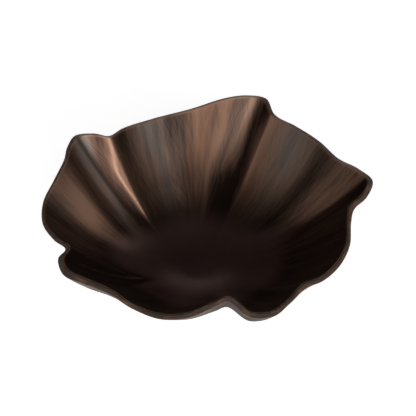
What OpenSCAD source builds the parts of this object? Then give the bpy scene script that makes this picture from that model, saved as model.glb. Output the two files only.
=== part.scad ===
// Free-form copper bowl: a raised sheet with folded, fluted walls, a strip
// brazed round the outside of its rim, and a turned foot ring on felt pads.
// Millimetres, +Z up. The origin is on the table, under the middle of the
// bowl's outline. The front of the bowl faces -Y.

/* [Bowl] */
// Mean radius of the rim's inner edge
rim_r = 173; // [150:1:190]
// Mean height of the rim above the table
rim_h = 108; // [98:1:125]
// Height of the inside floor above the table
floor_h = 11; // [9:0.5:14]
// Thickness of the copper sheet
sheet_t = 1.6; // [1:0.1:2.2]
// How far the rim wanders from a level circle, where 1 is the drawn outline
wave = 1; // [0.5:0.05:1.1]

/* [Wall] */
// Level floor, as a part of the bowl's radius
dish_start = 0.1; // [0.05:0.01:0.15]
// Curve of the wall, where 1 is a cone and 2 is a round dish
wall_power = 1.8; // [1.5:0.05:2.2]
// Where the flutes begin, as a part of the radius
flute_start = 0.3; // [0.3:0.01:0.4]
// Where the flutes reach their full depth, as a part of the radius
flute_full = 0.66; // [0.6:0.01:0.8]

/* [Rim strip] */
// Slope of the rim's top face, falling outwards, in degrees
lip_tilt = 20; // [10:1:30]
// Length of the strip down the outside of the wall
strip_h = 12; // [8:1:16]
// Width of the strip's lower edge, as a part of its top width
strip_taper = 0.7; // [0.5:0.05:1]
// Width of the bevel along the rim's outer edge
bevel = 1; // [0.5:0.1:1.2]

/* [Foot] */
// Radius of the circle on which the felt pads sit
foot_r = 50; // [44:1:51]
// Width of the foot ring where the pads are stuck on
foot_w = 8; // [8:0.5:12]
// Width of the foot ring where it meets the bowl
neck_w = 4; // [3:0.5:5]
// Diameter of a felt pad
pad_d = 7.5; // [6:0.5:8]
// Thickness of a felt pad
pad_h = 2; // [1:0.5:3]

/* [Hidden] */
pads = 4;

// The rim, anticlockwise from the right, one point a line: its angle, how far
// it lies out from rim_r and up from rim_h, how many degrees its flute swings
// round by the time it reaches the floor, the width of the lip there, and how
// the lip's outer side stands, from 0, sloping as the wall does, to 1, upright.
RIM = [
    // fold at the right
    [1, 1, -2, 4, 8, 0.4],
    // pointed lobe at the right
    [6, 18, 2, 4, 8, 0],
    [12, 29, 4, 3, 8, 0],
    [18, 20, 5, 3, 8, 0],
    [26, 8, 4, 2, 7, 0],
    [38, 6, 6, 1, 7, 0],
    [50, 6, 7, 0, 7, 0],
    // fold at the back right
    [61, 11, 7, -1, 7, 0.5],
    // tall lobe at the back
    [67, 29, 13, 0, 7, 0],
    [73, 26, 13, 3, 7, 0],
    [80, 16, 12, 7, 6.5, 0],
    [93, -4, 9, 8, 6, 0],
    [109, -11, 7, 6, 5.5, 0],
    [124, -11, 6, 3, 6.5, 0],
    // fold at the back left
    [132, -12, 5, 2, 7, 0.5],
    // lobe at the back left
    [137, 1, 9, 3, 7.5, 0],
    [142, 13, 10, 5, 8, 0],
    [147, 10, 8, 6, 6.5, 0],
    // shallow fold at the left
    [154, 2, 6, 8, 5, 0],
    // wide lobe at the left
    [166, -1, 4, 8, 4.5, 0],
    [178, 4, 1, 8, 4, 0],
    [189, 3, -1, 7, 4.5, 0],
    [198, -6, -1, 6, 5.5, 0],
    // sharp fold at the front left
    [206, -14, 1, 5, 6.5, 0.3],
    // lobe at the front left
    [209, -3, -2, 5, 8, 0.2],
    [215, 1, -4, 4, 9, 0.3],
    [223, -7, -5, 3, 8, 0.6],
    // shallow fold at the front left
    [234, -13, -5, 2, 6.5, 0.5],
    // wide lobe at the front
    [246, -9, -8, 2, 6.5, 0],
    [257, -6, -8, 1, 7.5, 0.1],
    [266, -11, -7, 1, 7.5, 0.4],
    [276, -22, -3, 1, 7.5, 0.8],
    // deep fold at the front
    [283, -25, 0, 0, 8, 1],
    // lobe at the front right
    [290, -3, -8, 0, 8, 0.8],
    [296, 4, -8, 0, 7.5, 0.4],
    [304, -1, -7, 0, 6, 0.1],
    // shallow fold at the front right
    [313, -7, -5, 0, 7, 0.5],
    // wide lobe at the right
    [321, -1, -7, 1, 6.5, 0],
    [330, 2, -7, 1, 6.5, 0],
    [341, 2, -6, 2, 6, 0],
    [353, -2, -4, 3, 6, 0],
];
// Steps along the rim from one of its points to the next
rim_steps = 4;
// Rings of facets between the floor and the strip's lower edge
wall_rings = 13;

n = len(RIM);
// Slope of the wall where it meets the rim
wall_angle = atan(wall_power * (rim_h - floor_h) / (rim_r * (1 - dish_start)));
// Width of the sheet's edge, measured along the sloping top face
edge_w = sheet_t / cos(90 - wall_angle - lip_tilt);
// The mean rim of the sheet's outside, against that of its inside
out_r = rim_r + edge_w * cos(lip_tilt);
out_h = rim_h - edge_w * sin(lip_tilt);
out_floor = floor_h - sheet_t;
// Where the strip's lower edge lies, as a part of the radius
strip_from = 1 - strip_h * cos(wall_angle) / rim_r;
// Gap filled by solder between the foot ring and the bowl
solder_gap = 0.05;

function unit(v) = v / norm(v);
function next(i) = (i + 1) % n;
function back(i) = (i + n - 1) % n;

// The rim's points in space, on the inner edge
edge_points = [
    for (p = RIM)
        let (r = rim_r + wave * p[1])
        [r * cos(p[0]), r * sin(p[0]), rim_h + wave * p[2]]
];
// Direction across the lip at point i, outwards and down by lip_tilt
function across(i) =
    let (d = edge_points[next(i)] - edge_points[back(i)])
    unit([d[1], -d[0], 0]) * cos(lip_tilt) - [0, 0, sin(lip_tilt)];
// The same points moved a given width across the lip
function moved(widths) = [for (i = [0 : n - 1]) edge_points[i] + widths[i] * across(i)];

// A smooth closed curve through one value per rim point, with its knots
// spaced by the square root of the distance between the points
knots = [for (i = [0 : n - 1]) sqrt(norm(edge_points[next(i)] - edge_points[i]))];
function rate(v, i) =
    let (a = back(i), b = next(i))
    (v[i] - v[a]) / knots[a] - (v[b] - v[a]) / (knots[a] + knots[i]) + (v[b] - v[i]) / knots[i];
function between(v, i, t) =
    (2 * t ^ 3 - 3 * t ^ 2 + 1) * v[i]
    + (t ^ 3 - 2 * t ^ 2 + t) * knots[i] * rate(v, i)
    + (3 * t ^ 2 - 2 * t ^ 3) * v[next(i)]
    + (t ^ 3 - t ^ 2) * knots[i] * rate(v, next(i));
function curve(v) = [for (i = [0 : n - 1]) for (j = [0 : rim_steps - 1]) between(v, i, j / rim_steps)];

inner_edge = curve(edge_points);
sheet_edge = curve(moved([for (p = RIM) edge_w]));
outer_edge = curve(moved([for (p = RIM) p[4]]));
swing = curve([for (p = RIM) p[3]]);
upright = curve([for (p = RIM) p[5]]);

// The part of the full height that the wall has reached at the part s of its
// radius, and the part of the flutes' depth
function rise(s) = pow(max(0, (s - dish_start) / (1 - dish_start)), wall_power);
function ease(t) = t * t * (3 - 2 * t);
function fluted(s) = ease(max(0, min(1, (s - flute_start) / (flute_full - flute_start))));
// One ring of a face of the sheet, at the part s of the way to its rim. The
// face runs from a level floor and a circle of the mean rim to its real rim.
function ring(rim, mean_r, mean_h, floor_z, s) = [
    for (i = [0 : len(rim) - 1])
        let (
            r = s * (mean_r + (norm([rim[i][0], rim[i][1]]) - mean_r) * fluted(s)),
            h = mean_h + (rim[i][2] - mean_h) * fluted(s),
            a = atan2(rim[i][1], rim[i][0]) + swing[i] * (1 - s)
        )
        [r * cos(a), r * sin(a), floor_z + (h - floor_z) * rise(s)]
];
function inside_ring(s) = ring(inner_edge, rim_r, rim_h, floor_h, s);
function outside_ring(s) = ring(sheet_edge, out_r, out_h, out_floor, s);
function underside(r) = out_floor + (out_h - out_floor) * rise(r / out_r);

// The middle of the rim's outline, which the origin is put under
function middle(k) = (max([for (p = outer_edge) p[k]]) + min([for (p = outer_edge) p[k]])) / 2;
origin_at = [middle(0), middle(1), 0];

// Triangles between ring k and the ring after it, each ring of m points
function band(k, after, m) = [
    for (i = [0 : m - 1])
        let (j = (i + 1) % m)
        each [[k * m + i, after * m + j, after * m + i], [k * m + i, k * m + j, after * m + j]]
];
function flat(rings) = [for (r = rings) each r];

module bowl_shell() {
    m = len(inner_edge);
    parts_of_radius = [for (k = [1 : wall_rings]) k / wall_rings * strip_from];
    rings = [
        for (s = parts_of_radius) inside_ring(s),
        inside_ring(1),
        outside_ring(1),
        for (k = [wall_rings - 1 : -1 : 0]) outside_ring(parts_of_radius[k])
    ];
    last = len(rings) - 1;
    centre_in = len(rings) * m;
    centre_out = centre_in + 1;
    color([0.25, 0.15, 0.11])
        translate(-origin_at)
            polyhedron(
                points = concat(flat(rings), [[0, 0, floor_h], [0, 0, out_floor]]),
                faces = [
                    for (k = [0 : last - 1]) each band(k, k + 1, m),
                    for (i = [0 : m - 1]) [centre_in, (i + 1) % m, i],
                    for (i = [0 : m - 1]) [centre_out, last * m + i, last * m + (i + 1) % m]
                ],
                convexity = 10
            );
}

// The strip's section, from its lower inner corner round the outside to its
// upper inner corner. Its inner face is the outside of the sheet.
module rim_strip() {
    m = len(sheet_edge);
    low_in = outside_ring(strip_from);
    low_out = [
        for (i = [0 : m - 1])
            let (sloping = low_in[i] + strip_taper * (outer_edge[i] - sheet_edge[i]))
            sloping + upright[i] * ([outer_edge[i][0], outer_edge[i][1], sloping[2]] - sloping)
    ];
    bevel_side = [for (i = [0 : m - 1]) outer_edge[i] + bevel * unit(low_out[i] - outer_edge[i])];
    bevel_top = [for (i = [0 : m - 1]) outer_edge[i] + bevel * unit(sheet_edge[i] - outer_edge[i])];
    color([0.30, 0.19, 0.14])
        translate(-origin_at)
            polyhedron(
                points = flat([sheet_edge, low_in, low_out, bevel_side, bevel_top]),
                faces = [for (k = [0 : 4]) each [for (f = band(k, (k + 1) % 5, m)) [f[2], f[1], f[0]]]],
                convexity = 10
            );
}

// A turned ring, flared towards the table
module foot_ring() {
    neck_in = foot_r - neck_w / 2;
    neck_out = foot_r + neck_w / 2;
    flare = (foot_w - neck_w) / 2;
    top = underside(neck_in) - solder_gap;
    flare_steps = 8;
    outline = [
        for (k = [0 : flare_steps])
            let (t = k / flare_steps)
            [neck_out + flare * (1 - t) ^ 2, pad_h + t * (top - pad_h)],
        [neck_out, underside(neck_out) - solder_gap],
        [neck_in, top],
        for (k = [flare_steps - 1 : -1 : 0])
            let (t = k / flare_steps)
            [neck_in - flare * (1 - t) ^ 2, pad_h + t * (top - pad_h)]
    ];
    color([0.27, 0.16, 0.12])
        translate(-origin_at)
            rotate_extrude($fn = 96)
                polygon(outline);
}

module felt_pad(k) {
    color([0.20, 0.17, 0.15])
        translate(-origin_at)
            rotate([0, 0, 360 / pads * (k - 0.5)])
                translate([foot_r, 0, 0])
                    cylinder(d = pad_d, h = pad_h, $fn = 48);
}

bowl_shell();
rim_strip();
foot_ring();
felt_pad(1);  // felt_pad_1
felt_pad(2);  // felt_pad_2
felt_pad(3);  // felt_pad_3
felt_pad(4);  // felt_pad_4
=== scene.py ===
import math
import random
from collections import namedtuple

import bpy
import numpy as np
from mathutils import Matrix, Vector, kdtree


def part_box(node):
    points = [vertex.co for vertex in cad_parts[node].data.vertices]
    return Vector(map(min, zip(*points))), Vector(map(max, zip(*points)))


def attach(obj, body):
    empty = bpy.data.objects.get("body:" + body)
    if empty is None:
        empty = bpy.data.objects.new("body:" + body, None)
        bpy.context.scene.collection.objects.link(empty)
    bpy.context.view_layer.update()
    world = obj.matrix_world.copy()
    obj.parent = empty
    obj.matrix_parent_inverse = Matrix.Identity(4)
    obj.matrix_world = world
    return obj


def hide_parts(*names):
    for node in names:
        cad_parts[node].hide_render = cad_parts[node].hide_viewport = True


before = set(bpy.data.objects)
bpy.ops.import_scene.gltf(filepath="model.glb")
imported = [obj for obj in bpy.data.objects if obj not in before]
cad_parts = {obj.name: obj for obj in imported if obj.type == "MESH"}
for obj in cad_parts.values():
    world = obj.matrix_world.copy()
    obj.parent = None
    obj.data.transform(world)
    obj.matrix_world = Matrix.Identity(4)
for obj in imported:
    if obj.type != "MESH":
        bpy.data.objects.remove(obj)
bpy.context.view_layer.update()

MM = 0.001

# ---------------------------------------------------------------- dimensions
# The bowl's own dimensions, as its CAD source gives them, in metres.
RIM_R = 173 * MM
RIM_H = 108 * MM
FLOOR_H = 11 * MM
SHEET_T = 1.6 * MM
DISH_START = 0.1
WALL_POWER = 1.8
FLUTE_START = 0.3
FLUTE_FULL = 0.66
LIP_TILT = math.radians(20)
STRIP_H = 12 * MM
STRIP_TAPER = 0.7
BEVEL = 1 * MM
LIP_INSET = 0.5 * MM        # keeps the smooth lip within the CAD's faceted one

# The rim, anticlockwise from the right: angle, millimetres out from RIM_R and
# up from RIM_H, degrees that the flute swings round on its way to the floor,
# the lip's width in millimetres, and how the lip's outer side stands, from 0,
# sloping as the wall does, to 1, upright.
RIM = [
    # fold at the right, and the pointed lobe after it
    (1, 1, -2, 4, 8, 0.4), (6, 18, 2, 4, 8, 0), (12, 29, 4, 3, 8, 0),
    (18, 20, 5, 3, 8, 0), (26, 8, 4, 2, 7, 0),
    (38, 6, 6, 1, 7, 0), (50, 6, 7, 0, 7, 0),
    # fold at the back right, and the tall lobe at the back
    (61, 11, 7, -1, 7, 0.5), (67, 29, 13, 0, 7, 0), (73, 26, 13, 3, 7, 0),
    (80, 16, 12, 7, 6.5, 0),
    (93, -4, 9, 8, 6, 0), (109, -11, 7, 6, 5.5, 0), (124, -11, 6, 3, 6.5, 0),
    # fold at the back left, and the lobe after it
    (132, -12, 5, 2, 7, 0.5), (137, 1, 9, 3, 7.5, 0), (142, 13, 10, 5, 8, 0),
    (147, 10, 8, 6, 6.5, 0),
    # shallow fold at the left, and the wide lobe after it
    (154, 2, 6, 8, 5, 0), (166, -1, 4, 8, 4.5, 0), (178, 4, 1, 8, 4, 0),
    (189, 3, -1, 7, 4.5, 0),
    (198, -6, -1, 6, 5.5, 0),
    # sharp fold at the front left, and the lobe after it
    (206, -14, 1, 5, 6.5, 0.3), (209, -3, -2, 5, 8, 0.2), (215, 1, -4, 4, 9, 0.3),
    (223, -7, -5, 3, 8, 0.6),
    # shallow fold at the front left, and the wide lobe at the front
    (234, -13, -5, 2, 6.5, 0.5), (246, -9, -8, 2, 6.5, 0), (257, -6, -8, 1, 7.5, 0.1),
    (266, -11, -7, 1, 7.5, 0.4),
    (276, -22, -3, 1, 7.5, 0.8),
    # deep fold at the front, and the lobe after it
    (283, -25, 0, 0, 8, 1), (290, -3, -8, 0, 8, 0.8), (296, 4, -8, 0, 7.5, 0.4),
    (304, -1, -7, 0, 6, 0.1),
    # shallow fold at the front right, and the wide lobe after it
    (313, -7, -5, 0, 7, 0.5), (321, -1, -7, 1, 6.5, 0), (330, 2, -7, 1, 6.5, 0),
    (341, 2, -6, 2, 6, 0),
    (353, -2, -4, 3, 6, 0),
]

# Mesh density
RIM_COLUMNS = 656       # columns round the bowl, an even distance apart along the rim
FINE_STEPS = 40         # samples of the rim curve between two of its points, before spacing
WALL_ROWS = 96          # rows from the floor to the rim
POLE_PART = 0.012       # part of the radius where the innermost row is

# ------------------------------------------------------------------ geometry


def foot_centre():
    low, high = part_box("foot_ring")
    return np.array([(low.x + high.x) / 2, (low.y + high.y) / 2, 0.0])


def unit(v):
    return v / np.linalg.norm(v, axis=-1, keepdims=True)


def smooth_closed(values, knots, steps):
    """A closed curve through the values, with a Hermite stretch for each knot interval."""
    ahead, behind = np.roll(values, -1, 0), np.roll(values, 1, 0)
    k1, k0 = knots[:, None], np.roll(knots, 1)[:, None]
    rate = (values - behind) / k0 - (ahead - behind) / (k0 + k1) + (ahead - values) / k1
    t = (np.arange(steps) / steps)[None, :, None]
    start, end = values[:, None], ahead[:, None]
    start_rate = (k1 * rate)[:, None]
    end_rate = (k1 * np.roll(rate, -1, 0))[:, None]
    curve = (
        (2 * t**3 - 3 * t**2 + 1) * start
        + (t**3 - 2 * t**2 + t) * start_rate
        + (3 * t**2 - 2 * t**3) * end
        + (t**3 - t**2) * end_rate
    )
    return curve.reshape(-1, values.shape[1])


def wall_slope():
    return math.atan(WALL_POWER * (RIM_H - FLOOR_H) / (RIM_R * (1 - DISH_START)))


RimCurves = namedtuple("RimCurves", "inner sheet lip swing upright")


def rim_curves():
    """The sheet's inner and outer edge, the lip's outer edge, the flutes' swing and how upright the
    lip's side is, at RIM_COLUMNS places an even distance apart along the inner edge."""
    table = np.array(RIM, float)
    angle = np.radians(table[:, 0])
    radius = RIM_R + table[:, 1] * MM
    height = RIM_H + table[:, 2] * MM
    edge = np.stack([radius * np.cos(angle), radius * np.sin(angle), height], 1)
    along = np.roll(edge, -1, 0) - np.roll(edge, 1, 0)
    outward = unit(np.stack([along[:, 1], -along[:, 0], 0 * angle], 1))
    across = outward * math.cos(LIP_TILT) - np.array([0, 0, math.sin(LIP_TILT)])
    sheet = edge + across * edge_width()
    lip = edge + across * (table[:, 4:5] * MM - LIP_INSET)
    knots = np.sqrt(np.linalg.norm(np.roll(edge, -1, 0) - edge, axis=1))
    every = np.concatenate([edge, sheet, lip, np.radians(table[:, 3:4]), table[:, 5:6]], 1)
    fine = smooth_closed(every, knots, FINE_STEPS)
    step = np.linalg.norm(np.roll(fine[:, :3], -1, 0) - fine[:, :3], axis=1)
    length = np.concatenate([[0], np.cumsum(step)])
    wrapped = np.concatenate([fine, fine[:1]])
    places = np.linspace(0, length[-1], RIM_COLUMNS, endpoint=False)
    even = np.stack([np.interp(places, length, wrapped[:, k]) for k in range(fine.shape[1])], 1)
    return RimCurves(even[:, 0:3], even[:, 3:6], even[:, 6:9], even[:, 9], even[:, 10])


def edge_width():
    """Width of the sheet's edge, which is cut at the lip's tilt and so is wider than SHEET_T."""
    return SHEET_T / math.cos(math.pi / 2 - wall_slope() - LIP_TILT)


def edge_offset():
    """How far out and how far down the sheet's outer edge is from its inner edge."""
    return edge_width() * math.cos(LIP_TILT), edge_width() * math.sin(LIP_TILT)


def strip_start():
    """The part of the radius at which the strip's lower edge is."""
    return 1 - STRIP_H * math.cos(wall_slope()) / RIM_R


def rise(s):
    """How far up from the floor to the rim the wall is at a part s of the radius."""
    return np.maximum((s - DISH_START) / (1 - DISH_START), 0) ** WALL_POWER


def smooth_step(low, high, value):
    t = np.clip((value - low) / (high - low), 0, 1)
    return t * t * (3 - 2 * t)


def fluted(s):
    """How much of the rim's folds the wall has at a part s of the radius."""
    return smooth_step(FLUTE_START, FLUTE_FULL, s)


def face_rows(rim, swing, mean_r, mean_h, floor_z, s):
    """Rows of one face of the sheet, one for each part s of the way from the middle to the rim."""
    s = np.asarray(s, float)[:, None]
    radius = s * (mean_r + (np.hypot(rim[:, 0], rim[:, 1]) - mean_r) * fluted(s))
    height = mean_h + (rim[:, 2] - mean_h) * fluted(s)
    angle = np.arctan2(rim[:, 1], rim[:, 0]) + swing * (1 - s)
    z = floor_z + (height - floor_z) * rise(s)
    return np.stack([radius * np.cos(angle), radius * np.sin(angle), z], -1)


def rounded(before, corner, after, size, steps):
    """Rows that round a corner off, from the side of the row before it to the row after it."""
    to_before = size * unit(before - corner)
    to_after = size * unit(after - corner)
    return [
        corner + (1 - t) ** 2 * to_before + t**2 * to_after
        for t in np.linspace(0, 1, steps + 1)
    ]


def between(a, b, parts):
    return [a + (b - a) * t for t in parts]


def around(table, turn):
    """Each value of a table of (degrees, value, value), smoothed between its entries, at the
    angles in turn."""
    table = np.array(table, float)
    angle = np.degrees(turn) % 360
    places = np.concatenate([table[-1:, 0] - 360, table[:, 0], table[:1, 0] + 360])
    values = np.concatenate([table[-1:, 1:], table[:, 1:], table[:1, 1:]])
    after = np.clip(np.searchsorted(places, angle), 1, len(places) - 1)
    t = (angle - places[after - 1]) / (places[after] - places[after - 1])
    t = (t * t * (3 - 2 * t))[:, None]
    return (values[after - 1] + (values[after] - values[after - 1]) * t).T


def mesh_from_rows(name, rows, poles=(None, None), closed=False):
    """A mesh of quads between the rows, each a closed loop. A pole closes an end with a fan,
    and closed joins the last row to the first."""
    rows = np.asarray(rows)
    count, columns = rows.shape[:2]
    points = rows.reshape(-1, 3)
    index = np.arange(count * columns).reshape(count, columns)
    right = np.roll(index, -1, 1)
    last = count if closed else count - 1
    up, up_right = np.roll(index, -1, 0)[:last], np.roll(right, -1, 0)[:last]
    quads = np.stack([index[:last], right[:last], up_right, up], -1).reshape(-1, 4)
    faces = quads.tolist()
    for pole, row, order in ((poles[0], 0, -1), (poles[1], count - 1, 1)):
        if pole is not None:
            centre = len(points)
            points = np.concatenate([points, [pole]])
            ring = np.stack([index[row], right[row]], 1)[:, ::order]
            faces += [[a, b, centre] for a, b in ring.tolist()]
    mesh = bpy.data.meshes.new(name)
    mesh.from_pydata(points.tolist(), [], faces)
    mesh.update()
    mesh.shade_smooth()
    piece = bpy.data.objects.new(name, mesh)
    bpy.context.scene.collection.objects.link(piece)
    return piece


def give(piece, name, values):
    """Stores one number or one vector for each vertex, for the materials to read."""
    values = np.asarray(values, np.float32)
    kind, key = ("FLOAT", "value") if values.ndim == 1 else ("FLOAT_VECTOR", "vector")
    attribute = piece.data.attributes.new(name, kind, "POINT")
    attribute.data.foreach_set(key, values.ravel())


# ---------------------------------------------------------------- bowl shell
# Hand-beaten relief of the wall between the folds: angle round the bowl, half width in degrees,
# millimetres raised into the bowl, the parts of the radius where it starts and is full, how much
# of it is left at the rim, and whether its crest is a crease.
RELIEF = [
    (24, 7, 1.5, 0.40, 0.70, 0.2, False),
    (36, 8, -0.8, 0.45, 0.70, 0.2, False),
    (61, 5, 1.5, 0.30, 0.60, 0.5, True),
    (74, 3, 0.5, 0.50, 0.75, 0.4, False),
    (83, 5, 0.8, 0.35, 0.65, 0.0, False),
    (101, 6, 0.7, 0.45, 0.70, 0.2, False),
    (132, 2.5, 0.9, 0.40, 0.62, 0.3, True),
    (157, 8, 1.8, 0.40, 0.70, 0.0, False),
    (172, 8, -0.8, 0.45, 0.70, 0.2, False),
    (228, 7, 0.8, 0.45, 0.70, 0.2, False),
    (252, 8, -0.8, 0.45, 0.70, 0.2, False),
    (313, 5, 0.8, 0.40, 0.65, 0.3, False),
    (346, 7, 0.8, 0.45, 0.70, 0.2, False),
]
CREASE_ROUND = 0.6      # degrees that a crease is rounded over
CREASE_FALL = 1.6       # how steeply a crease falls off over its half width
EASE_FROM = 0.82        # part of the radius from which the relief eases off to what the rim has

# How many degrees the brush strokes and the relief lean round the bowl between the rim and the
# middle, at an angle round the rim.
LEAN = [
    (0, 0), (16, -8), (30, -5), (46, 0), (60, 5), (66, 5), (75, 8), (81, 5), (87, -4), (96, -12),
    (110, 0), (132, 9), (141, 4), (151, 13), (166, 9), (182, 4), (205, 0),
]


def brushed(turn, s):
    """The angle at the rim, in degrees, of the stroke through each column and part of the radius."""
    return np.degrees(turn) - around(LEAN, turn)[0] * (1 - s[:, None])


def relief(turn, s):
    """Height of the hand-beaten relief at each column's angle and each part of the radius."""
    degrees = brushed(turn, s)
    total = np.zeros((len(s), len(turn)))
    for angle, half_width, height, start, full, at_rim, crease in RELIEF:
        off = np.abs((degrees - angle + 180) % 360 - 180)
        if crease:
            profile = np.exp(-(np.hypot(off, CREASE_ROUND) - CREASE_ROUND) / half_width * CREASE_FALL)
        else:
            profile = np.exp(-((off / half_width) ** 2))
        along = smooth_step(start, full, s) * (1 - (1 - at_rim) * smooth_step(EASE_FROM, 1, s))
        total += height * MM * along[:, None] * profile
    return total


# The streaks that the brush has left in the patina, with painted light and shade in them: bright bands that
# stand for reflections and dark ones for shade in the folds. Angle round the rim, 0 for grey oxide to 1 for
# brown, and 0 for black oxide and painted shade to 1 for thin patina and painted light. They run into each
# other.
STREAKS_AND_PAINTED_LIGHT = [
    # lobe at the right: a painted copper highlight between bands of painted shade
    (12, 0.8, 0.3), (20, 1.0, 0.6), (28, 0.8, 0.2),
    # the grey wall after it, up to the painted highlight on the fold's edge and the painted shade of the
    # channel behind it
    (46, 0.2, 0.9), (60, 1.0, 1.0), (65, 0.8, 0.0), (70, 0.6, 0.6),
    # tall lobe at the back: two painted copper highlights, a grey streak, and painted shade at the fold
    (75, 0.4, 0.4), (80, 0.9, 0.8), (90, 1.0, 0.8), (102, 0.3, 0.5), (111, 0.0, 0.9), (128, 0.9, 0.3),
    # fold at the back left: painted highlight on its crest, painted shade in the hollow beside it and a
    # grey streak
    (133, 1.0, 0.6), (137, 0.8, 0.1), (142, 0.1, 1.0), (152, 0.9, 0.3),
    # painted light on the left wall, then painted shade on the front walls
    (165, 0.9, 1.0), (180, 0.6, 0.3), (208, 0.3, 0.0), (250, 0.4, 0.1), (283, 0.4, 0.3),
    (335, 0.4, 0.1),
]
LIGHTER_FROM, LIGHTER_FULL = 0.44, 0.80       # parts of the radius between which the streaks' lightness rises towards the rim
LIGHTER_LEAST = 0.2                        # what is left of the streaks' lightness nearer the floor
WEAR_WANDER = 1.0                       # degrees that the streaks wander
BROWNER_BELOW = 0.25                    # how much browner the wall gets a little below the rim
BROWNER_FROM, BROWNER_FULL = 0.90, 0.70

# Patches of painted light and shade: angle, part of the radius, half width in degrees, half length as a
# part of the radius, and what each adds to the thinness of the patina (painted light, or painted shade
# below 0) and to the bare copper of painted highlights.
LIGHT_AND_SHADE_PATCHES = [
    (15, 1.0, 10, 0.15, -0.3, 0.0),     # painted shade along the rim, at the right and at the back
    (100, 1.0, 30, 0.10, -0.3, 0.0),
    (70, 0.6, 4, 0.15, -0.3, 0.0),      # painted shade at the foot of the black channel and low on the left wall
    (165, 0.6, 12, 0.12, -0.2, 0.0),
    (60, 0.8, 1.5, 0.20, 0.2, 0.2),     # painted highlights on lit edges and copper streaks
    (70, 1.0, 1.5, 0.12, 0.4, 0.2),
    (80, 0.7, 2.5, 0.20, 0.4, 0.1),
    (133, 0.8, 0.6, 0.25, 0.4, 0.4),
    (142, 0.8, 3.0, 0.25, 0.3, 0.0),
    (165, 0.8, 5, 0.10, 0.2, 0.1),
]
FLOOR_BLEND = 0.08      # half of the part of the radius over which the floor's oxide, lightened as painted fill light, blends in
SHADED_FOLD = 209         # degrees, the fold kept black as painted shade nearly to the floor
SHADED_FOLD_WIDTH = 7
FLOOR_END = 0.58        # part of the radius where the floor's oxide and its painted fill light end at the front,
SHORTER_AT_BACK = 0.18  # how much sooner it ends at the back,
SHORTER_IN_FOLD = 0.20  # and in the fold of painted shade
BACK_FULL = 0.8         # sine of the angle round the bowl from which the wall is fully the back
FLOOR_MIDDLE_TONE = 0.5     # tone and thinness of the patina at the middle of the floor
FLOOR_MIDDLE_THIN = 0.1

# The outside: browned all over, black in the hammer marks and thinner between them
OUTSIDE_TONE = 0.75
OUTSIDE_THIN = 0.34
OUTSIDE_DENTS = 0.26
MEAN_DENT = 0.4         # depth of a mark, as a part of the deepest, that keeps the outside's own finish

# The sheet's edge
ARRIS = 0.5 * MM        # rounding of the sheet's inner edge
ARRIS_STEPS = 4
ARRIS_WEAR = [0.6, 1, 1, 0.8, 0.4]      # bare copper across the rounding
BELOW_ARRIS = 0.012     # part of the radius below the arris that is worn too,
BELOW_ARRIS_WEAR = 0.3  # and by how much
EDGE_ROWS = (0.4, 0.8)  # rows across the sheet's edge, as parts of its width
JOINT_GROOVE = 0.25 * MM

# Planishing marks on the outside
DENT_SPACING = 11 * MM
DENT_DEPTH = 0.22 * MM
DENT_RINGS = 0.87       # spacing of the rings of marks and reach of a mark, as parts of DENT_SPACING
DENT_REACH = 0.62
DENT_SHIFT = 0.45       # how far a mark may stray along its ring, as a part of the spacing,
DENT_ROW_SHIFT = (-2, -1, 0, 1, 2)      # and across it, in rows
DENTS_FROM = 0.3        # part of the radius from which the outside is marked, up to the strip
DENTS_FADE_IN = 0.05    # parts of the radius over which the marks fade in and out
DENTS_FADE_OUT = 0.04
RELIEF_FADE_OUT = 0.1   # and over which the relief of the outside fades out below the strip

# How many radians the two sets of crossing strokes swing round between the rim and the middle
SLANT_LEFT = 0.55
SLANT_RIGHT = -0.4


def normals_of(rows):
    """Unit normals of a grid of rows, up and into the bowl."""
    along = np.roll(rows, -1, 1) - np.roll(rows, 1, 1)
    down = np.gradient(rows, axis=0)
    return unit(np.cross(down, along) + 1e-12)


def light_patches(degrees, s):
    """What the patches of painted light and shade add to the thinness of the patina and to the bare copper
    of the painted highlights.
    """
    painted_lightness, copper_glint = np.zeros(degrees.shape), np.zeros(degrees.shape)
    for angle, part, half_width, half_length, thin_and_lit, copper in LIGHT_AND_SHADE_PATCHES:
        off = (degrees - angle + 180) % 360 - 180
        strength = np.exp(-((off / half_width) ** 2) - ((s[:, None] - part) / half_length) ** 2)
        painted_lightness += thin_and_lit * strength
        copper_glint += copper * strength
    return painted_lightness, copper_glint


def planished(rows, normal, fade):
    """Pushes shallow, overlapping hammer marks into the outside of the sheet, and gives how deep
    each vertex is in one, from 0 to 1."""
    rng = random.Random(7)
    seeds = []
    ring_step = DENT_SPACING * DENT_RINGS
    count = rows.shape[0]
    travelled = 0.0
    for k in range(1, count):
        travelled += np.linalg.norm(rows[k] - rows[k - 1], axis=1).mean()
        if travelled < ring_step:
            continue
        travelled = 0.0
        girth = np.linalg.norm(np.roll(rows[k], -1, 0) - rows[k], axis=1).sum()
        marks = max(3, round(girth / DENT_SPACING))
        start = rng.random()
        for j in range(marks):
            column = int((j + start + rng.uniform(-DENT_SHIFT, DENT_SHIFT)) / marks * rows.shape[1])
            row = min(count - 1, max(0, k + rng.choice(DENT_ROW_SHIFT)))
            seeds.append(rows[row, column % rows.shape[1]])
    tree = kdtree.KDTree(len(seeds))
    for j, seed in enumerate(seeds):
        tree.insert(seed, j)
    tree.balance()
    reach = DENT_SPACING * DENT_REACH
    flat = rows.reshape(-1, 3)
    near = np.array([tree.find(p)[2] for p in flat]).reshape(rows.shape[:2])
    dent = DENT_DEPTH * np.clip(1 - (near / reach) ** 2, 0, 1) * fade[:, None]
    return rows + normal * dent[..., None], dent / DENT_DEPTH


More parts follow.
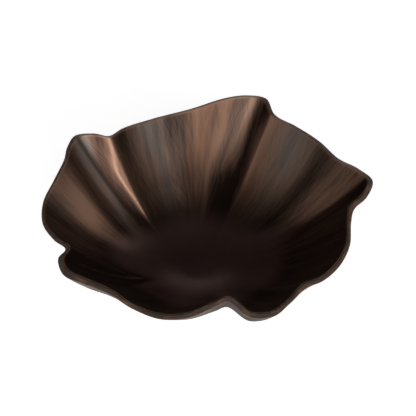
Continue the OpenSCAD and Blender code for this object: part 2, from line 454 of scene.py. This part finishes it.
def shell_faces(curves, parts):
    """Rows of the inside and of the outside of the sheet, and the depth of the marks outside."""
    spread, drop = edge_offset()
    floor_out = FLOOR_H - SHEET_T
    inside = face_rows(curves.inner, curves.swing, RIM_R, RIM_H, FLOOR_H, parts)
    outside = face_rows(curves.sheet, curves.swing, RIM_R + spread, RIM_H - drop, floor_out, parts)
    inside_normal, outside_normal = normals_of(inside), normals_of(outside)
    turn = np.arctan2(curves.inner[:, 1], curves.inner[:, 0])
    beaten = relief(turn, parts)[..., None]
    below_strip = strip_start() - parts
    relief_left = np.clip(below_strip / RELIEF_FADE_OUT, 0, 1)[:, None, None]
    inside = inside + inside_normal * beaten
    outside = outside + outside_normal * beaten * relief_left
    fade = np.clip(below_strip / DENTS_FADE_OUT, 0, 1) * np.clip((parts - DENTS_FROM) / DENTS_FADE_IN, 0, 1)
    outside, dents = planished(outside, outside_normal, fade)
    return inside, outside, dents


def patina(turn, s):
    """Tone, thinness with painted light and shade, bare copper of the painted highlights, and the floor's
    oxide with its painted fill light, at each part of the radius and angle.
    """
    degrees = brushed(turn, s) + WEAR_WANDER * (
        np.sin(7 * s[:, None] + 5 * turn) + 0.6 * np.sin(17 * s[:, None] - 9 * turn)
    )
    tone, thin_and_lit = around(STREAKS_AND_PAINTED_LIGHT, np.radians(degrees).ravel())
    lightened = LIGHTER_LEAST + (1 - LIGHTER_LEAST) * smooth_step(LIGHTER_FROM, LIGHTER_FULL, s)
    painted_lightness, copper_glint = light_patches(degrees, s)
    thin_and_lit = thin_and_lit.reshape(degrees.shape) * lightened[:, None] + painted_lightness
    browner = smooth_step(BROWNER_FROM, BROWNER_FULL, s)[:, None]
    tone = tone.reshape(degrees.shape) + BROWNER_BELOW * browner
    back = smooth_step(0.0, BACK_FULL, np.sin(turn))
    in_fold = np.exp(-(((np.degrees(turn) % 360 - SHADED_FOLD) / SHADED_FOLD_WIDTH) ** 2))
    # The floor's oxide, which also paints fill light, ends sooner at the back and in the fold of painted
    # shade.
    floor_end = FLOOR_END - SHORTER_AT_BACK * back - SHORTER_IN_FOLD * in_fold
    floor = smooth_step(floor_end + FLOOR_BLEND, floor_end - FLOOR_BLEND, s[:, None])
    return tone, thin_and_lit, copper_glint, floor


def make_shell(curves, centre):
    parts = np.linspace(POLE_PART, 1, WALL_ROWS)
    inside, outside, dents = shell_faces(curves, parts)
    sheet = curves.sheet
    inner = inside[-1]
    arris = rounded(inside[-2], inner, sheet, ARRIS, ARRIS_STEPS)
    top = between(arris[-1], sheet, EDGE_ROWS)
    joint = rounded(top[-1], sheet, outside[-2], JOINT_GROOVE, 2)
    rows = [*inside[:-1], *arris, *top, *joint, *outside[:-1][::-1]]
    poles = ([0, 0, FLOOR_H] + centre, [0, 0, FLOOR_H - SHEET_T] + centre)
    piece = mesh_from_rows("bowl_shell_sheet", np.array(rows) + centre, poles)

    in_rows, out_rows = len(inside) - 1, len(outside) - 1
    edge_rows = len(arris) + len(top) + len(joint)
    turn = np.arctan2(curves.inner[:, 1], curves.inner[:, 0])
    s = np.concatenate([parts[:-1], np.ones(edge_rows), parts[:-1][::-1]])
    edge = np.concatenate([
        np.zeros(in_rows), np.linspace(0, 1, len(arris)), np.ones(len(top) + len(joint)),
        np.zeros(out_rows),
    ])
    worn_arris = np.concatenate([
        np.clip(1 - (1 - parts[:-1]) / BELOW_ARRIS, 0, 1) * BELOW_ARRIS_WEAR, ARRIS_WEAR,
        np.zeros(len(top) + len(joint) + out_rows),
    ])
    outer = np.concatenate([
        np.zeros(in_rows + len(arris) + len(top)), np.ones(len(joint) + out_rows),
    ])[:, None]
    dent = np.concatenate([np.zeros((in_rows + edge_rows, len(turn))), dents[:-1][::-1]])
    tone, thin_and_lit, copper_glint, floor = patina(turn, s)
    tone = tone * (1 - outer) + OUTSIDE_TONE * outer
    thin_and_lit = thin_and_lit * (1 - outer) + (OUTSIDE_THIN + OUTSIDE_DENTS * (MEAN_DENT - dent)) * outer

    def per_vertex(grid, pole_values):
        """One value for each vertex, from one for each row and column, then the two poles'."""
        grid = np.broadcast_to(np.asarray(grid), (len(s), len(turn)))
        return np.concatenate([grid.ravel(), pole_values])

    def strokes(slant):
        angle = np.radians(brushed(turn, s)) + slant * (1 - s[:, None])
        return np.stack([per_vertex(np.cos(angle), [1, 1]), per_vertex(np.sin(angle), [0, 0]),
                         per_vertex(s[:, None], [0, 0])], 1)

    give(piece, "strokes", strokes(0))
    give(piece, "strokes_left", strokes(SLANT_LEFT))
    give(piece, "strokes_right", strokes(SLANT_RIGHT))
    give(piece, "reach", per_vertex(s[:, None], [0, 0]))
    give(piece, "edge", per_vertex(edge[:, None], [0, 0]))
    give(piece, "arris", per_vertex(worn_arris[:, None], [0, 0]))
    give(piece, "wear", per_vertex(tone, [FLOOR_MIDDLE_TONE, OUTSIDE_TONE]))
    # Thinness carries painted light and shade; the bare copper is painted highlight.
    give(piece, "thin_and_lit", per_vertex(thin_and_lit, [FLOOR_MIDDLE_THIN, OUTSIDE_THIN]))
    give(piece, "copper_glint", per_vertex(copper_glint * (1 - outer), [0, 0]))
    give(piece, "floor", per_vertex(floor * (1 - outer), [1, 0]))
    give(piece, "inside", per_vertex(1 - outer, [1, 0]))
    return piece


# ----------------------------------------------------------------- rim strip
SEAM_ANGLE = math.radians(-13)      # the strip's butt joint
SEAM_WIDTH = 2.2 * MM
WAVER = 0.12 * MM                   # unevenness of the filed top face


def wavers(count, seed):
    """A closed, even wandering about 0, within 1."""
    rng = random.Random(seed)
    turn = np.linspace(0, 2 * math.pi, count, endpoint=False)
    total = np.zeros(count)
    for cycles in range(7, 64, 4):
        size = rng.uniform(0.4, 1)
        cycles += rng.randrange(4)
        phase = rng.uniform(0, 6.28)
        total += size * np.sin(cycles * turn + phase) / 7
    return np.clip(total, -1, 1)


def make_strip(curves, centre):
    sheet, lip = curves.sheet, curves.lip
    spread, drop = edge_offset()
    floor_out = FLOOR_H - SHEET_T
    low_in = face_rows(sheet, curves.swing, RIM_R + spread, RIM_H - drop, floor_out, [strip_start()])[0]
    low_out = low_in + STRIP_TAPER * (lip - sheet)
    below_lip = np.stack([lip[:, 0], lip[:, 1], low_out[:, 2]], 1)
    low_out = low_out + curves.upright[:, None] * (below_lip - low_out)
    waver = wavers(len(sheet), 3)[:, None] * WAVER
    up = np.array([0, 0, 1.0])
    corner_top = lip - up * (WAVER + waver) - unit(lip - sheet) * WAVER

    inner_top = rounded(low_in, sheet, corner_top, JOINT_GROOVE, 2)
    outer_top = rounded(sheet, corner_top, low_out, BEVEL, 5)
    top = between(inner_top[-1], outer_top[0], (0.12, 0.5, 0.88))
    outer_low = rounded(corner_top, low_out, low_in, BEVEL * 0.8, 4)
    side = between(outer_top[-1], outer_low[0], (0.08, 0.35, 0.65, 0.92))
    base = between(outer_low[-1], low_in, (0.5, 1.0))
    rows = [*inner_top, *top, *outer_top, *side, *outer_low, *base]
    piece = mesh_from_rows("rim_strip_bar", np.array(rows) + centre, closed=True)

    columns = len(sheet)
    along = np.arange(columns) / columns * 2 * math.pi
    across = np.linspace(0, 1, len(rows))
    edge = np.concatenate([
        np.full(len(inner_top), 0.35), np.zeros(len(top)), [0, 0.3, 1, 0.8, 0.2, 0],
        np.zeros(len(side)), np.full(len(outer_low), 0.5), np.zeros(len(base)),
    ])
    outer_side = np.concatenate([
        np.zeros(len(inner_top) + len(top)), [0, 0, 0.2, 0.6, 1, 1],
        np.ones(len(side) + len(outer_low) + len(base)),
    ])
    turn = np.arctan2(curves.inner[:, 1], curves.inner[:, 0])
    away = np.abs(np.angle(np.exp(1j * (turn - SEAM_ANGLE)))) * RIM_R
    seam = np.exp(-((away / SEAM_WIDTH) ** 2))
    shape = (len(rows), columns)
    grid = np.stack([np.broadcast_to(np.cos(along), shape), np.broadcast_to(np.sin(along), shape),
                     np.broadcast_to(across[:, None], shape)], -1)
    give(piece, "strokes", grid.reshape(-1, 3))
    give(piece, "edge", np.broadcast_to(edge[:, None], shape).ravel())
    give(piece, "side", np.broadcast_to(outer_side[:, None], shape).ravel())
    give(piece, "seam", np.broadcast_to(seam, shape).ravel())
    return piece


# ----------------------------------------------------------------- foot ring
FOOT_COLUMNS = 256
NECK_W = 4 * MM
SOLDER_GAP = 0.05 * MM
FLARE_STEPS = 14
GROOVES = (0.30, 0.44)      # two grooves turned in the outside, as parts of the foot's height
GROOVE_WIDTH = 0.035
GROOVE_DEPTH = 0.35 * MM
FOOT_ROUND = 0.5 * MM
NECK_ROUND = 0.2 * MM


def turned(profile, columns, centre, name):
    """A ring turned from a closed profile of (radius, height) points."""
    angle = np.linspace(0, 2 * math.pi, columns, endpoint=False)
    rows = [
        np.stack([r * np.cos(angle), r * np.sin(angle), np.full(columns, z)], 1)
        for r, z in profile
    ]
    return mesh_from_rows(name, np.array(rows) + centre, closed=True)


def underside(radius):
    """Height of the outside of the floor at a distance from the bowl's middle."""
    spread, drop = edge_offset()
    low = FLOOR_H - SHEET_T
    return low + (RIM_H - drop - low) * float(rise(np.float64(radius / (RIM_R + spread))))


def round_profile(points, sizes, steps=4):
    """A closed outline with each corner rounded to its size."""
    points = [np.array(p, float) for p in points]
    outline = []
    for k, corner in enumerate(points):
        before, after = points[k - 1], points[(k + 1) % len(points)]
        if sizes[k] == 0:
            outline.append(corner)
        else:
            outline += rounded(before, corner, after, sizes[k], steps)
    return outline


def make_foot(centre):
    low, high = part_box("foot_ring")
    base_out = (high.x - low.x) / 2
    pad_low, pad_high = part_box("felt_pad_1")
    pad_h = pad_high.z
    pad_x, pad_y = (pad_low.x + pad_high.x) / 2, (pad_low.y + pad_high.y) / 2
    pad_r = math.hypot(pad_x - centre[0], pad_y - centre[1])
    neck_in, neck_out = pad_r - NECK_W / 2, pad_r + NECK_W / 2
    flare = base_out - neck_out
    top_in, top_out = underside(neck_in) - SOLDER_GAP, underside(neck_out) - SOLDER_GAP
    points, sizes = [], []
    for k in range(FLARE_STEPS + 1):
        t = k / FLARE_STEPS
        groove = sum(GROOVE_DEPTH * math.exp(-(((t - place) / GROOVE_WIDTH) ** 2)) for place in GROOVES)
        points.append((neck_out + flare * (1 - t) ** 2 - groove, pad_h + t * (top_in - pad_h)))
        sizes.append(FOOT_ROUND if k == 0 else 0)
    points.append((neck_out, top_out))
    sizes.append(NECK_ROUND)
    for k in range(FLARE_STEPS, -1, -1):
        t = k / FLARE_STEPS
        points.append((neck_in - flare * (1 - t) ** 2, pad_h + t * (top_in - pad_h)))
        sizes.append(FOOT_ROUND if k == 0 else 0)
    return turned(round_profile(points, sizes), FOOT_COLUMNS, centre, "foot_ring_turned")


# ----------------------------------------------------------------- felt pads
PAD_COLUMNS = 48
FELT_EDGE = 0.45 * MM
FELT_FUZZ = 0.07 * MM


def make_pad(node):
    low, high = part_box(node)
    middle = np.array([(low.x + high.x) / 2, (low.y + high.y) / 2, 0.0])
    radius = (high.x - low.x) / 2 - FELT_FUZZ
    rng = random.Random(node)
    profile = [(radius * t, low.z) for t in (0.25, 0.5, 0.75)]
    profile += [tuple(p) for p in rounded(np.array((0, low.z)), np.array((radius, low.z)),
                                          np.array((radius, high.z)), FELT_EDGE, 4)]
    profile += [(radius, low.z + (high.z - low.z) * t) for t in (0.4, 0.6)]
    profile += [tuple(p) for p in rounded(np.array((radius, low.z)), np.array((radius, high.z)),
                                          np.array((0, high.z)), FELT_EDGE, 4)]
    profile += [(radius * t, high.z) for t in (0.75, 0.5, 0.25)]
    angle = np.linspace(0, 2 * math.pi, PAD_COLUMNS, endpoint=False)
    rows = []
    for r, z in profile:
        ring = np.array([r + rng.uniform(-1, 1) * FELT_FUZZ for _ in angle])
        rows.append(np.stack([ring * np.cos(angle), ring * np.sin(angle), np.full(PAD_COLUMNS, z)], 1))
    poles = (middle + [0, 0, low.z], middle + [0, 0, high.z])
    return mesh_from_rows(node + "_felt", np.array(rows) + middle, poles)


# ----------------------------------------------------------------- materials


class Shader:
    """A material's nodes, with short ways to add the ones used here."""

    def __init__(self, name):
        self.material = bpy.data.materials.new(name)
        self.material.use_nodes = True
        self.tree = self.material.node_tree
        self.tree.nodes.clear()
        self.surface = self.tree.nodes.new("ShaderNodeBsdfPrincipled")
        output = self.tree.nodes.new("ShaderNodeOutputMaterial")
        self.tree.links.new(self.surface.outputs["BSDF"], output.inputs["Surface"])

    def put(self, socket, value):
        if isinstance(value, bpy.types.NodeSocket):
            self.tree.links.new(value, socket)
        elif socket.type == "RGBA" and not isinstance(value, (int, float)):
            socket.default_value = (*value, 1.0)[:4]
        else:
            socket.default_value = value

    def set(self, **inputs):
        for name, value in inputs.items():
            self.put(self.surface.inputs[name.replace("_", " ")], value)

    def attribute(self, name, vector=False):
        node = self.tree.nodes.new("ShaderNodeAttribute")
        node.attribute_name = name
        return node.outputs["Vector" if vector else "Fac"]

    def position(self):
        return self.tree.nodes.new("ShaderNodeTexCoord").outputs["Object"]

    def stretched(self, vector, scale):
        node = self.tree.nodes.new("ShaderNodeMapping")
        self.put(node.inputs["Vector"], vector)
        node.inputs["Scale"].default_value = scale
        return node.outputs["Vector"]

    def noise(self, vector, scale=1.0, detail=3.0, roughness=0.55, distortion=0.0):
        node = self.tree.nodes.new("ShaderNodeTexNoise")
        self.put(node.inputs["Vector"], vector)
        node.inputs["Scale"].default_value = scale
        node.inputs["Detail"].default_value = detail
        node.inputs["Roughness"].default_value = roughness
        node.inputs["Distortion"].default_value = distortion
        return node.outputs["Fac"]

    def math(self, operation, a, b=0.0, c=0.0, clamp=False):
        node = self.tree.nodes.new("ShaderNodeMath")
        node.operation = operation
        node.use_clamp = clamp
        for k, value in enumerate((a, b, c)):
            self.put(node.inputs[k], value)
        return node.outputs["Value"]

    def band(self, value, low, high, to_low=0.0, to_high=1.0):
        """Takes value from low..high to to_low..to_high, held at the ends."""
        node = self.tree.nodes.new("ShaderNodeMapRange")
        node.interpolation_type = "SMOOTHSTEP"
        self.put(node.inputs["Value"], value)
        node.inputs["From Min"].default_value = low
        node.inputs["From Max"].default_value = high
        node.inputs["To Min"].default_value = to_low
        node.inputs["To Max"].default_value = to_high
        return node.outputs["Result"]

    def mix(self, factor, a, b):
        node = self.tree.nodes.new("ShaderNodeMix")
        node.data_type = "RGBA"
        self.put(node.inputs[0], factor)
        self.put(node.inputs[6], a)
        self.put(node.inputs[7], b)
        return node.outputs[2]

    def ramp(self, value, stops):
        node = self.tree.nodes.new("ShaderNodeValToRGB")
        self.put(node.inputs["Fac"], value)
        elements = node.color_ramp.elements
        while len(elements) < len(stops):
            elements.new(0.5)
        for element, (place, colour) in zip(elements, stops):
            element.position = place
            element.color = (*colour, 1.0)
        return node.outputs["Color"]

    def bump(self, height, distance, strength=1.0):
        node = self.tree.nodes.new("ShaderNodeBump")
        node.inputs["Strength"].default_value = strength
        node.inputs["Distance"].default_value = distance
        self.put(node.inputs["Height"], height)
        self.put(self.surface.inputs["Normal"], node.outputs["Normal"])


# Reflectance of the patina: black oxide, also painted as shade, grey oxide, brown, and copper rubbed bare,
# also painted as highlights; the redder oxide of the floor, lightened as painted fill light, and the dull
# oxide of the lip and of the outside of the rim, darkened on the rim's outer side as painted shade.
OXIDE_DARK = (0.038, 0.0200, 0.0140)
OXIDE = (0.205, 0.164, 0.142)
BROWN = (0.340, 0.186, 0.122)
COPPER = (0.660, 0.420, 0.300)
FLOOR_OXIDE_AND_FILL = (0.20, 0.115, 0.10)
DULL = (0.120, 0.092, 0.078)
DULL_SHADED_SIDE = (0.062, 0.051, 0.045)
COPPER_LINE = (0.520, 0.280, 0.165)


def shell_material():
    """Copper darkened to brown-black, then brushed from the floor to the rim, so that bare
    copper shows in strokes; painted highlights lie along the ridges, painted shade in the folds and painted
    fill light on the floor and low on the walls."""
    m = Shader("patina_shell_painted_light")
    strokes = m.attribute("strokes", True)
    left = m.attribute("strokes_left", True)
    right = m.attribute("strokes_right", True)
    fine = m.noise(m.stretched(strokes, (150, 150, 3)), detail=4, roughness=0.6)
    hair = m.noise(m.stretched(left, (80, 80, 4)), detail=3, roughness=0.6)
    cross = m.noise(m.stretched(right, (50, 50, 4)), detail=3, roughness=0.6)
    strands = m.noise(m.stretched(strokes, (20, 20, 1.6)), detail=3)
    cloud = m.noise(m.position(), scale=14, detail=3)

    texture = m.math("MULTIPLY_ADD", fine, 0.4, m.math("MULTIPLY", hair, 0.35))
    texture = m.math("MULTIPLY_ADD", cross, 0.25, texture)
    wear = m.math("MULTIPLY_ADD", strands, 0.8, m.math("MULTIPLY_ADD", cloud, 0.8, -1.3))
    wear = m.math("MULTIPLY_ADD", texture, 1.0, wear)
    wear = m.math("ADD", m.attribute("wear"), wear, clamp=True)
    uneven = m.math("MULTIPLY_ADD", strands, 0.7, m.math("MULTIPLY_ADD", texture, 1.3, -1.0))
    calm = m.band(m.attribute("reach"), 0.36, 0.66, 0.2, 1.0)
    calm = m.math("MULTIPLY", calm, m.band(m.attribute("inside"), 0, 1, 0.6, 1.0))
    uneven = m.math("MULTIPLY", uneven, calm)
    # Thinness with painted light and shade: low values paint black shade, high ones lit patina.
    depth = m.math("ADD", uneven, m.attribute("thin_and_lit"), clamp=True)
    # Bare copper, painted as highlights.
    copper_glint = m.math("MULTIPLY", m.attribute("copper_glint"), m.band(texture, 0.35, 0.60, 0.5, 1.3))
    line = m.math("MULTIPLY", m.attribute("arris"), m.band(cloud, 0.35, 0.65, 0.5, 1.0))
    colour = m.mix(wear, OXIDE, BROWN)
    colour = m.mix(depth, OXIDE_DARK, colour)
    # The floor's oxide, lightened to paint fill light on the floor and the lower walls.
    floor = m.math("MULTIPLY", m.attribute("floor"), m.band(cloud, 0.30, 0.70, 1.0, 0.75))
    colour = m.mix(floor, colour, FLOOR_OXIDE_AND_FILL)
    colour = m.mix(m.attribute("edge"), colour, DULL)
    colour = m.mix(copper_glint, colour, COPPER)
    colour = m.mix(line, colour, COPPER_LINE)

    m.set(
        Base_Color=colour,
        Metallic=0.88,
        Roughness=m.math("MULTIPLY_ADD", texture, 0.20, 0.26),
        Specular_IOR_Level=0.3,
        Coat_Weight=0.08,
        Coat_Roughness=0.3,
    )
    m.bump(texture, 0.00005, 0.5)
    return m.material


TURNED = [(0.0, OXIDE_DARK), (0.45, BROWN), (1.0, COPPER)]     # colours of the foot, dark to bare
FELT_DARK = (0.030, 0.022, 0.019)
FELT_LIGHT = (0.110, 0.088, 0.078)


def strip_material():
    """The same copper with a dull oxide, filed along its length, bare in places on its arrises, with
    painted shade on its outer side.
    """
    m = Shader("patina_rim_painted_shade")
    strokes = m.attribute("strokes", True)
    file_marks = m.noise(m.stretched(strokes, (14, 14, 40)), detail=4, roughness=0.6)
    patches = m.noise(m.stretched(strokes, (9, 9, 2)), detail=3)
    grain = m.noise(m.position(), scale=260, detail=3)
    brown = m.math("MULTIPLY_ADD", file_marks, 1.6, m.math("MULTIPLY_ADD", patches, 2.2, -1.6))
    shade = m.math("MULTIPLY_ADD", grain, 0.8, m.math("MULTIPLY", file_marks, 0.9), clamp=True)
    colour = m.mix(m.band(brown, 0, 1), DULL, BROWN)
    colour = m.mix(shade, OXIDE_DARK, colour)
    # Painted shade: the outer side gets a darker oxide colour.
    colour = m.mix(m.attribute("side"), colour, DULL_SHADED_SIDE)
    lightened = m.math("MULTIPLY", m.attribute("edge"), m.band(patches, 0.40, 0.60, 0.1, 0.5))
    lightened = m.math("MULTIPLY_ADD", m.attribute("seam"), 0.3, lightened, clamp=True)
    m.set(
        Base_Color=m.mix(lightened, colour, COPPER_LINE),
        Metallic=0.4,
        Roughness=m.math("MULTIPLY_ADD", grain, 0.2, 0.38),
    )
    m.bump(m.math("MULTIPLY_ADD", grain, 0.4, file_marks), 0.00008, 0.6)
    return m.material


def foot_material():
    """Dark copper with the fine rings that a lathe leaves."""
    m = Shader("patina_foot")
    rings = m.noise(m.stretched(m.position(), (6, 6, 1600)), detail=2)
    cloud = m.noise(m.position(), scale=40, detail=4)
    rub = m.math("MULTIPLY_ADD", rings, 0.3, m.math("MULTIPLY", cloud, 0.7))
    m.set(
        Base_Color=m.ramp(m.band(rub, 0.38, 0.68, 0.05, 0.45), TURNED),
        Metallic=0.9,
        Roughness=m.math("MULTIPLY_ADD", cloud, 0.2, 0.3),
        Coat_Weight=0.35,
        Coat_Roughness=0.3,
    )
    m.bump(rings, 0.00006, 0.5)
    return m.material


def felt_material():
    """Dark wool felt, with fibres lying mostly flat."""
    m = Shader("wool_felt")
    fibres = m.noise(m.stretched(m.position(), (900, 900, 2600)), detail=5, roughness=0.7, distortion=1.5)
    mottle = m.noise(m.position(), scale=500, detail=2)
    shade = m.math("MULTIPLY_ADD", fibres, 0.7, m.math("MULTIPLY", mottle, 0.3))
    m.set(
        Base_Color=m.mix(shade, FELT_DARK, FELT_LIGHT),
        Roughness=0.95,
        Sheen_Weight=0.4,
        Sheen_Roughness=0.6,
    )
    m.bump(fibres, 0.00015, 0.8)
    return m.material


def floor_material():
    """A pale floor that gives off some light of its own, so that it stays evenly pale."""
    m = Shader("pale_floor")
    m.set(
        Base_Color=(0.86, 0.86, 0.86),
        Roughness=0.9,
        Specular_IOR_Level=0.2,
        Emission_Color=(1, 1, 1),
        Emission_Strength=0.8,
    )
    return m.material


# ------------------------------------------------------------- stage and view
LENS = 114.6                # millimetres, on a 36 mm sensor
VIEW_ELEVATION = math.radians(42)
VIEW_DISTANCE = 1.6
AIM = Vector((-0.0012, 0.0420, 0.0550))
FLOOR_SIZE = 40.0


def add_camera():
    camera = bpy.data.objects.new("camera", bpy.data.cameras.new("camera"))
    bpy.context.scene.collection.objects.link(camera)
    camera.data.lens = LENS
    camera.data.sensor_width = 36
    back = Vector((0, -math.cos(VIEW_ELEVATION), math.sin(VIEW_ELEVATION)))
    camera.location = AIM + back * VIEW_DISTANCE
    camera.rotation_euler = (-back).to_track_quat("-Z", "Y").to_euler()
    camera.data.clip_start = 0.05
    bpy.context.scene.camera = camera


def add_floor():
    mesh = bpy.data.meshes.new("floor")
    h = FLOOR_SIZE / 2
    mesh.from_pydata([(-h, -h, 0), (h, -h, 0), (h, h, 0), (-h, h, 0)], [], [(0, 1, 2, 3)])
    floor = bpy.data.objects.new("floor", mesh)
    bpy.context.scene.collection.objects.link(floor)
    floor.data.materials.append(floor_material())


# Each softbox: name, azimuth it stands at in degrees (0 in front, 90 at the right), elevation and
# radiance. The fills are half as strong as the key, the light behind a fifth, and those at the
# sides an eighth.
SOFTBOX_AWAY = 3.0          # from the bowl
SOFTBOX_W, SOFTBOX_H = 1.5, 1.3
KEY = 5.0
SOFTBOXES = [
    ("key_right", 30, 20, KEY),
    ("fill_left", -30, 20, KEY / 2),
    ("fill_front", 0, 42, KEY / 2),
    ("back_low", 180, 20, KEY / 5),
    ("side_left", -80, 30, KEY / 8),
    ("side_right", 110, 30, KEY / 8),
]
WORLD_STRENGTH = 0.02


def add_lights():
    middle = Vector((0, 0, RIM_H / 2))
    for name, azimuth, elevation, radiance in SOFTBOXES:
        light = bpy.data.objects.new(name, bpy.data.lights.new(name, "AREA"))
        bpy.context.scene.collection.objects.link(light)
        a, e = math.radians(azimuth), math.radians(elevation)
        away = Vector((math.sin(a) * math.cos(e), -math.cos(a) * math.cos(e), math.sin(e)))
        light.location = middle + away * SOFTBOX_AWAY
        light.rotation_euler = away.to_track_quat("Z", "Y").to_euler()
        light.data.shape = "RECTANGLE"
        light.data.size, light.data.size_y = SOFTBOX_W, SOFTBOX_H
        light.data.energy = radiance * math.pi * SOFTBOX_W * SOFTBOX_H
        light.visible_camera = False


def add_world():
    world = bpy.data.worlds.new("studio")
    bpy.context.scene.world = world
    world.use_nodes = True
    background = world.node_tree.nodes["Background"]
    background.inputs["Color"].default_value = (1, 1, 1, 1)
    background.inputs["Strength"].default_value = WORLD_STRENGTH


# -------------------------------------------------------------------- build
centre = foot_centre()
curves = rim_curves()

shell = make_shell(curves, centre)
shell.data.materials.append(shell_material())
strip = make_strip(curves, centre)
strip.data.materials.append(strip_material())
foot = make_foot(centre)
foot.data.materials.append(foot_material())
for piece, node, slot in (
    (shell, "bowl_shell", "shell_copper"),
    (strip, "rim_strip", "rim_copper"),
    (foot, "foot_ring", "foot_copper"),
):
    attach(piece, "root")
    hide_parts(node)

felt = felt_material()
for node in sorted(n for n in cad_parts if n.startswith("felt_pad_")):
    pad = make_pad(node)
    pad.data.materials.append(felt)
    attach(pad, "root")
    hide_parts(node)

add_camera()
add_floor()
add_lights()
add_world()
bpy.context.scene.view_settings.view_transform = "Standard"
